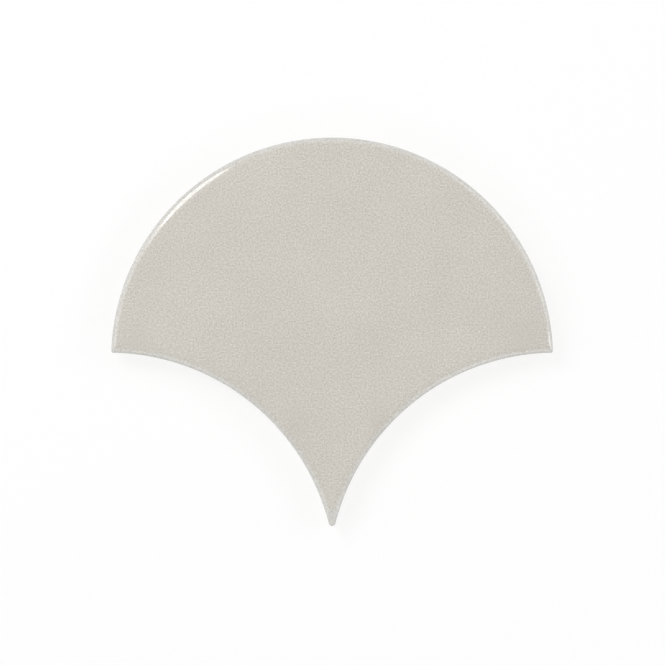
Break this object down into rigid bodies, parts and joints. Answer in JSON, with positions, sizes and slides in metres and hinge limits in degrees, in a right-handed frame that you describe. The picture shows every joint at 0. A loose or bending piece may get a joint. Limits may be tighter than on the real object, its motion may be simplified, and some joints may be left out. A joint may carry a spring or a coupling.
{
  "type": "fish scale tile",
  "caption": "Fan-shaped glazed ceramic wall tile with a round top, hollow sides, a narrow tip and a keyed back, laid in interlocking rows.",
  "frame": {"origin": "centre of the round top arc, on the plane of the back", "axes": "+X to the right and +Y towards the round top, as seen from the front; +Z out of the glazed face"},
  "size_m": [0.12, 0.1055, 0.008],
  "materials": {
    "glazed_clay": "gloss"
  },
  "bodies": {
    "root": {"fish_scale_tile": "glazed_clay"}
  },
  "joints": []
}
